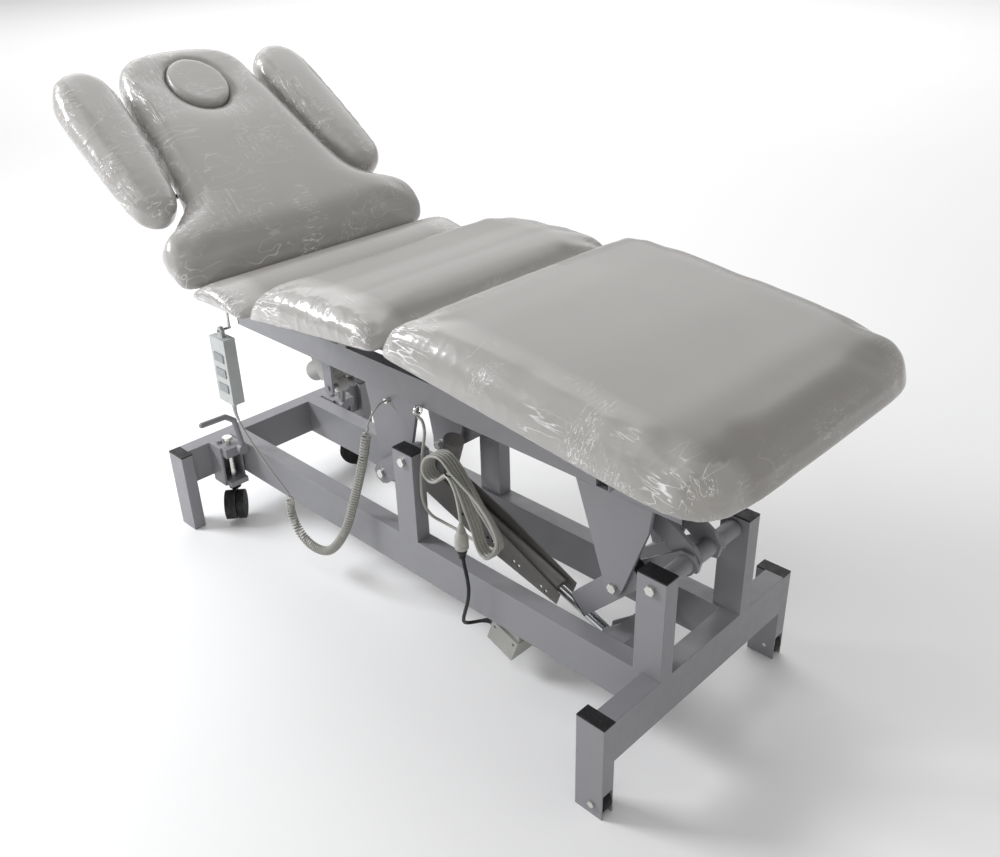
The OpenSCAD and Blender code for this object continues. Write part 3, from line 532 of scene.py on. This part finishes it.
def boot(name, line, length, r0, r1, body, material, ribs=6):
    """A ribbed strain relief that tapers along the start of a cord."""
    fine = curve_points([Vector(q) for q in line[:24]], 0.0008)
    fine = fine[arc_of(fine) <= length]
    t = arc_of(fine) / length
    r = r0 + (r1 - r0) * t + 0.00045 * np.sign(np.sin(t * ribs * 2 * math.pi)) * (t > 0.18)
    return new_object(name, tube_mesh(name, fine, r, 20), body, material)


boot("handset_relief", hand_line, 0.034, 0.0046, 0.0026, "upper_frame", GREY)

# the mains cord: out of the frame, through the ring, down, wound into a hank, and into its connector
MAINS, MAINS_BEND = 0.0066, 0.0215
BACK_Y, LAYER = -111.5, 7.5
hank = [(702, -65, 497.6), (702.5, -66, 490), (707, -71, 481), (718, -82, 476), (733, -92, 480), (750, -99, 483),
        (761, -104, 478), (767, -108, 462), (768, -115, 435), (768, -122, 400), (768, -127, 360),
        (768, -127, 320), (770, -120, 290), (779, -111, 270), (800, -104, 262), (840, -101, 259),
        (890, -101, 256), (928, -101, 257), (958, -102, 265), (978, -106, 284)]
for layer in range(5):  # one turn of the hank each, the later ones looser
    y, loose = BACK_Y - layer * LAYER, (0, 4, 0, 14, 24)[layer]
    hank += [(979 + loose * 0.8, y, 306 + loose * 0.6), (960 + loose, y, 334 + loose * 0.9),
             (930 + loose, y, 364 + loose * 0.9), (898 + loose * 0.3, y, 402 + loose * 0.4), (876, y, 427),
             (861, y, 440), (845, y, 448), (826, y, 446), (808, y, 436), (796, y, 420), (792, y, 402),
             (799, y, 387), (815, y, 382), (833, y, 391), (850, y, 408)]
    if layer < 4:
        hank += [(866, y, 415), (882, y, 396), (904, y, 350), (924, y, 306), (932, y - 0.8, 284),
                 (945, y - 2.2, 267), (965, y - 4.6, 264), (979, y - 6.4, 280)]
    else:
        hank += [(864, y - 3, 419), (883, y - 7, 413), (901, y - 13, 400), (914, y - 20, 387), (925, y - 27, 376),
                 (932, -173, 366), (934, -174, 357), (934, -174, 351.6)]
hank_line = relaxed(mm_line(hank, 0.0045), MAINS_BEND)
hank_cord = new_object("mains_cord", tube_mesh("mains_cord", hank_line, MAINS / 2, 12), "upper_frame", CORD)
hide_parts("mains_hank")

TIE = Matrix.Translation(P(868, BACK_Y - 2 * LAYER, 424)) @ Matrix.Rotation(math.radians(40), 4, "Y")
tie_line = [TIE @ Vector((9.6 * MM * abs(math.cos(a)) ** 0.5 * math.copysign(1, math.cos(a)),
                          21 * MM * abs(math.sin(a)) ** 0.5 * math.copysign(1, math.sin(a)),
                          (a - 6.3) * 0.0004))
            for a in np.linspace(0, 4 * math.pi, 72)]
tie = new_object("cord_tie", tube_mesh("cord_tie", np.array(tie_line), 0.0011, 8),
                 "upper_frame", BLACK)

PLUG_X, PLUG_Y = 934, -174
PLUG_AT = Matrix.Translation(P(PLUG_X, PLUG_Y, 293))
plug_form = [(9.5, 0), (12.4, 0.6), (13.6, 2), (13.9, 5), (13.9, 11), (13.3, 12), (13.3, 13.4), (13.9, 14.4),
             (13.9, 24), (13.5, 29), (12.2, 33), (10.4, 36), (9.9, 38)]
for i in range(6):
    plug_form += [(9.8 - i * 0.95, 38.6 + i * 3.1), (9.6 - i * 0.95, 40.6 + i * 3.1),
                  (8.3 - i * 0.8, 40.8 + i * 3.1), (8.2 - i * 0.8, 41.6 + i * 3.1)]
plug_form += [(4.1, 57.6), (3.4, 58)]
plug_form = [(r * MM, h * MM) for r, h in plug_form]
plug = new_object("mains_connector", spun_mesh("mains_connector", plug_form, PLUG_AT),
                  "upper_frame", CORD)
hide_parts("mains_plug")

# the black lead: from the box on the base down, round and up to the mains connector
LEAD = [(950.4, -112, 82), (941, -112.2, 81.4), (928, -116, 78), (916, -127, 75), (911, -142, 77), (912, -157, 88),
        (919, -166, 107), (929, -169, 135), (939, -170, 166), (944, -171, 196), (943, -172.5, 226),
        (938, -173.6, 254), (934.6, -174, 278), (934, -174, 292.6)]
THICK, THICK_BEND = 0.0076, 0.031
lead_line = relaxed(mm_line(LEAD, 0.005), THICK_BEND)
lead = new_object("black_lead", tube_mesh("black_lead", lead_line, THICK / 2, 14),
                  "base", CORD_BLACK)
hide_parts("mains_lead")
boot("gland_relief", lead_line, 0.028, 0.0062, 0.0041, "base", BLACK, 5)
socket_form = [(4.1, 0), (6.4, 1), (7.2, 8), (9.6, 14), (10.6, 17), (10.6, 21), (9.4, 21.6)]
socket_form = [(r * MM, h * MM) for r, h in socket_form]
socket_at = Matrix.Translation(P(PLUG_X, PLUG_Y, 271))
lead_end = new_object("lead_connector", spun_mesh("lead_connector", socket_form, socket_at),
                      "base", BLACK)

# ---------------------------------------------------------------- cushions

SIMMED = []
HOLE_SHARP = 9  # how much tighter a hole's edge is rounded than the outer edge
CLOTH_FRAMES, SMOOTH_PASSES = 20, 14


def filleted(points, radius):
    """Polygon corners rounded to about that radius, resampled."""
    pts = [np.array(p, float) for p in points]
    out = []
    for i, b in enumerate(pts):
        a, c = pts[i - 1], pts[(i + 1) % len(pts)]
        u, v = a - b, c - b
        lu, lv = np.linalg.norm(u), np.linalg.norm(v)
        cut = min(radius, lu * 0.48, lv * 0.48)
        p, q = b + u / lu * cut, b + v / lv * cut
        for k in range(7):
            t = k / 6
            out.append((1 - t) ** 2 * p + 2 * t * (1 - t) * b + t * t * q)
    dense = []
    for i, p in enumerate(out):
        q = out[(i + 1) % len(out)]
        n = max(1, int(np.linalg.norm(q - p) / 14))
        dense += [p + (q - p) * k / n for k in range(n)]
    return np.array(dense)


def rim_distance(xy, loops):
    """For each point, how far the nearest outline is and the unit direction inwards."""
    best = np.full(len(xy), 1e9)
    near = np.zeros((len(xy), 2))
    for loop in loops:
        for i in range(len(loop)):
            a, b = loop[i - 1], loop[i]
            d = b - a
            l2 = max(d @ d, 1e-12)
            t = np.clip(((xy - a) @ d) / l2, 0, 1)
            q = a + t[:, None] * d
            dist = np.linalg.norm(xy - q, axis=1)
            hit = dist < best
            best[hit], near[hit] = dist[hit], q[hit]
    away = xy - near
    away /= np.maximum(np.linalg.norm(away, axis=1), 1e-6)[:, None]
    return best, away


def prism(name, loops, z0, z1):
    """A flat block with the loops as its outline and holes."""
    bm = bmesh.new()
    edges = []
    for loop in loops:
        vs = [bm.verts.new((p[0], p[1], z0)) for p in loop]
        edges += [bm.edges.new((vs[i - 1], vs[i])) for i in range(len(vs))]
    bmesh.ops.triangle_fill(bm, use_beauty=True, use_dissolve=False, edges=edges)
    made = bmesh.ops.extrude_face_region(bm, geom=bm.faces[:])
    raised = [v for v in made["geom"] if isinstance(v, bmesh.types.BMVert)]
    bmesh.ops.translate(bm, vec=(0, 0, z1 - z0), verts=raised)
    bmesh.ops.recalc_face_normals(bm, faces=bm.faces[:])
    m = bpy.data.meshes.new(name)
    bm.to_mesh(m)
    bm.free()
    return m


def evaluated(o):
    """A new mesh of the object with its modifiers applied."""
    return bpy.data.meshes.new_from_object(o.evaluated_get(bpy.context.evaluated_depsgraph_get()))


def coords(mesh):
    co = np.zeros(len(mesh.vertices) * 3)
    mesh.vertices.foreach_get("co", co)
    return co.reshape(-1, 3)


def set_coords(mesh, co):
    mesh.vertices.foreach_set("co", np.asarray(co, np.float32).ravel())
    mesh.update()


def cushion(name, body, node, matrix, loops, z0, z1, top_r, low_r, top, cap, fill, film, inset=3.0, voxel=6.0):
    """A stuffed pad: its outline in mm in the section's own plane, rounded and crowned, then blown up as cloth.

    top(s, w) gives the crown's height in mm above z0 before the pad swells, cap how far it may swell in mm, and
    film(s, w, edge) how loose the film is, which also sets where the upholstery gets painted light and painted
    glints. top_r and low_r round the upper and lower edges."""
    loops = [np.asarray(l, float) * MM for l in loops]
    m = prism(name, loops, z0 * MM, z1 * MM)
    o = bpy.data.objects.new(name, m)
    bpy.context.scene.collection.objects.link(o)
    r = o.modifiers.new("r", "REMESH")
    r.mode, r.voxel_size, r.adaptivity = "VOXEL", voxel * MM * 1, 0
    mesh = evaluated(o)
    o.modifiers.clear()
    o.data = mesh
    bpy.data.meshes.remove(m)
    co = coords(mesh)
    d, inward = rim_distance(co[:, :2], loops[:1])
    if len(loops) > 1:
        d2, inward2 = rim_distance(co[:, :2], loops[1:])
        d2 = d2 * HOLE_SHARP
        inner = d2 < d
        d[inner], inward[inner] = d2[inner], inward2[inner] / HOLE_SHARP
    h = (co[:, 2] - z0 * MM) / ((z1 - z0) * MM)
    # where the flat prism becomes a round-shouldered form
    full = np.array([top(x / MM, y / MM) for x, y in co[:, :2]]) * MM
    z = h * full
    for radius, low in ((top_r, False), (low_r, True)):
        rr = radius * MM
        u = np.clip(1 - d / rr, 0, 1)
        v = np.clip((rr - z) / rr if low else (z - (full - rr)) / rr, 0, 1)
        push = rr * (u - u * np.sqrt(1 - v * v / 2))
        lift = rr * (v - v * np.sqrt(1 - u * u / 2))
        co[:, :2] += inward * push[:, None]
        z = z + lift if low else z - lift
    edge = np.clip(1 - d / (45 * MM), 0, 1)
    co[:, :2] += inward * (inset * MM * np.clip(1 - d / (20 * MM), 0, 1))[:, None]
    co[:, 2] = z0 * MM + z
    set_coords(mesh, co)
    loose = np.array([film(x / MM, y / MM, e) for (x, y), e in zip(co[:, :2], edge)])
    loose = np.clip(loose, 0, 1).astype(np.float32)
    mesh.attributes.new("film", "FLOAT", "POINT").data.foreach_set("value", loose)
    pin = o.vertex_groups.new(name="pin")
    # the board holds the lowest 3 mm, and its hold fades out over the next 22 mm
    for tenth in range(10):
        hit = np.nonzero(np.round(np.clip((z / MM - 3) / 22, 0, 1) * 10) == tenth)[0]
        if len(hit):
            pin.add(hit.tolist(), 1 - tenth / 10, "REPLACE")
    c = o.modifiers.new("cloth", "CLOTH")
    st = c.settings
    st.quality, st.mass, st.air_damping = 4, 0.3, 2
    st.tension_stiffness = st.compression_stiffness = 22
    st.shear_stiffness, st.bending_stiffness = 8, 3
    st.use_pressure, st.uniform_pressure_force = True, 4.0
    st.vertex_group_mass, st.effector_weights.gravity = "pin", 0
    c.collision_settings.use_collision = False
    SIMMED.append((o, coords(mesh), cap, body, node, matrix, fill))


def crinkle(mesh):
    """Fine folds of the loose film, and a mark for the faces that look down."""
    n = len(mesh.vertices)
    normal = np.zeros(n * 3, np.float32)
    mesh.vertices.foreach_get("normal", normal)
    normal = normal.reshape(-1, 3)
    film = np.zeros(n, np.float32)
    mesh.attributes["film"].data.foreach_get("value", film)
    co = coords(mesh)
    under = np.clip((-normal[:, 2] - 0.55) / 0.3, 0, 1)
    mesh.attributes.new("under", "FLOAT", "POINT").data.foreach_set("value", under.astype(np.float32))
    fold = np.zeros(n)
    for i in np.nonzero((film > 0.05) & (under < 0.3))[0]:
        x, y, z = co[i]
        a = 1 - abs(noise.noise((x * 34, y * 17, z * 26)))
        b = 1 - abs(noise.noise((x * 21 + 7, y * 55, z * 40 + 3)))
        fold[i] = (a ** 5 * 0.9 + b ** 6 * 0.5 - 0.35) * max(film[i] - 0.3, 0)
    set_coords(mesh, co + normal * (fold * 1.5 * MM)[:, None])


def run_cloth():
    """Blows every pad up together, caps how far it may swell, and puts it in place."""
    sc = bpy.context.scene
    sc.frame_start, sc.frame_end = 1, CLOTH_FRAMES
    for f in range(1, CLOTH_FRAMES + 1):
        sc.frame_set(f)
    for o, rest, cap, *_ in SIMMED:
        grown = evaluated(o)
        move = coords(grown) - rest
        bpy.data.meshes.remove(grown)
        size = np.linalg.norm(move, axis=1)
        share = np.tanh(size / (cap * MM)) * cap * MM / np.maximum(size, 1e-9)
        set_coords(o.data, rest + move * share[:, None])
    sc.frame_set(1)
    for o, _, _, body, node, matrix, fill in SIMMED:
        o.modifiers.clear()
        bm = bmesh.new()
        bm.from_mesh(o.data)
        for _ in range(SMOOTH_PASSES):
            bmesh.ops.smooth_vert(bm, verts=bm.verts, factor=0.5,
                                  use_axis_x=True, use_axis_y=True, use_axis_z=True)
        bm.to_mesh(o.data)
        bm.free()
        s = o.modifiers.new("s", "SUBSURF")
        s.levels = s.render_levels = 1
        mesh = evaluated(o)
        o.modifiers.clear()
        o.data = mesh
        crinkle(mesh)
        mesh.materials.clear()
        mesh.materials.append(HIDE)
        mesh.shade_smooth()
        o.matrix_world = matrix
        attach(o, body)
        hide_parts(node)


def ramp(points):
    """A smooth height profile through (position, height) pairs."""
    xs, ys = np.array(points, float).T
    def f(s):
        i = int(np.clip(np.searchsorted(xs, s) - 1, 0, len(xs) - 2))
        t = min(max((s - xs[i]) / (xs[i + 1] - xs[i]), 0), 1)
        t = t * t * (3 - 2 * t)
        return ys[i] + (ys[i + 1] - ys[i]) * t
    return f


def mirrored(half):
    return half + [(s, -w) for s, w in reversed(half) if abs(w) > 1e-6]


def side_film(strength):
    """Film that is loose at the two long sides and smooth in the middle, stronger on the near side (w < 0); through
    the film mask the near side also gets more painted light and painted glint.
    """
    return lambda s, w, e: strength * min(max((abs(w) - 225) / 75, 0), 1) * (1 if w < 0 else 0.6) + 0.15 * e


SEAT_OUT = [(308, 328), (501, 326), (501, -326), (308, -328)]
seat_top = ramp([(308, 10), (330, 24), (362, 37), (396, 42), (435, 34), (472, 21), (501, 11)])
cushion("seat_cushion", "upper_frame", "seat_pad", SEAT, [filleted(SEAT_OUT, 14)], 0, 46, 15, 4,
        lambda s, w: seat_top(s), 6, 0.85, side_film(0.8))

THIGH_OUT = [(4, 324), (392, 326), (392, -320), (4, -320)]
thigh_top = ramp([(4, 20), (26, 48), (64, 67), (120, 73), (190, 71), (275, 64), (345, 54), (392, 40)])
cushion("thigh_cushion", "thigh_section", "thigh_pad", THIGH, [filleted(THIGH_OUT, 15)], 10, 84, 24, 6,
        lambda s, w: thigh_top(s), 8, 0.85, side_film(0.85))

LEG_OUT = [(4, 327), (566, 328), (612, 324), (644, 308), (662, 282), (668, 240), (669, 0), (667, -214), (660, -256),
           (646, -286), (622, -306), (590, -316), (555, -319), (4, -320)]
leg_top = ramp([(4, 56), (36, 74), (100, 81), (180, 84), (340, 84), (516, 80), (600, 73), (668, 62)])
# the film is stronger on the near side, at the knee and at the near foot corner, so these get more painted light
# and painted glint
cushion("leg_cushion", "leg_section", "leg_pad", LEG, [filleted(LEG_OUT, 18)], 10, 96, 32, 8,
        lambda s, w: leg_top(s), 10, 0.9,
        lambda s, w, e: side_film(0.5)(s, w, e) + 0.7 * max(0, 1 - abs(s - 30) / 60) * (w < 60)
        + 0.8 * (e > 0.2) * max(0, 1 - math.hypot(s - 640, w + 285) / 90))

BACK_HALF = [(-8, 312), (-22, 332), (-70, 338), (-116, 330), (-148, 290), (-170, 240), (-198, 214), (-240, 205),
             (-367, 192), (-481, 176), (-570, 166), (-615, 148), (-641, 108), (-649, 60), (-650, 0)]
FACE = -520
HOLE = [(FACE + 78 * math.cos(a), 71 * math.sin(a)) for a in np.linspace(0, 2 * math.pi, 48, endpoint=False)]
back_top = ramp([(-650, 65), (-84, 65), (-44, 58), (-8, 38)])
# the film is stronger on the near side (w < 0), so that side gets more painted light and painted glint
cushion("back_cushion", "back_section", "back_pad", BACK, [filleted(mirrored(BACK_HALF), 26), np.array(HOLE)],
        10, 80, 28, 8, lambda s, w: back_top(s), 8, 0.85,
        lambda s, w, e: 0.3 + 0.6 * e * (1 if w < 0 else 0.5) + 0.15 * min(max((-s - 330) / 150, 0), 1))
cushion("face_plug_cushion", "face_plug", "face_plug", BACK, [np.array(HOLE)], 10, 80, 2.5, 3,
        lambda s, w: 71, 1, 0.85, lambda s, w, e: 0.4, inset=0.6, voxel=4)

ARM_OUT = [(-172, 274), (-180, 304), (-206, 326), (-260, 334), (-540, 334), (-592, 318), (-620, 280), (-620, 236),
           (-594, 202), (-560, 190), (-481, 191), (-367, 205), (-250, 217), (-208, 228), (-184, 248)]
ROD_W = (134, 135.5, 150, 200, 250, 308.5, 310)  # how far out the rod's rings are, in mm
ROD_R = [0.0046] + [0.006] * 5 + [0.0046]  # and their radii, in metres
for tag, sign in (("near", -1), ("far", 1)):
    out = [(along, w * sign) for along, w in ARM_OUT]
    cushion("arm_cushion_" + tag, "arm_pad_" + tag, "arm_pad_" + tag, BACK, [filleted(out, 26)], 7, 83, 32, 18,
            lambda s, w: 73, 8, 0.85, lambda s, w, e: 0.38 + 0.55 * e, voxel=5)
    rods = []
    for at in (-270, -480):
        line = np.array([BACK @ Vector((at * MM, sign * w * MM, MM)) for w in ROD_W])
        rods.append(tube_mesh("rod", line, ROD_R, 24))
    new_object("arm_rods_" + tag, joined("arm_rods_" + tag, rods), "arm_pad_" + tag, STEEL)

run_cloth()

# ---------------------------------------------------------------- floor

bm = bmesh.new()
bmesh.ops.create_grid(bm, x_segments=1, y_segments=1, size=24)
floor_mesh = bpy.data.meshes.new("floor")
bm.to_mesh(floor_mesh)
bm.free()
floor = bpy.data.objects.new("floor", floor_mesh)
bpy.context.scene.collection.objects.link(floor)
s = Shade("floor", 0.85)
s.put("Base Color", s.mix(s.noise(0.6, 2), lin(250, 250, 250), lin(246, 246, 246)))
floor_mesh.materials.append(s.m)
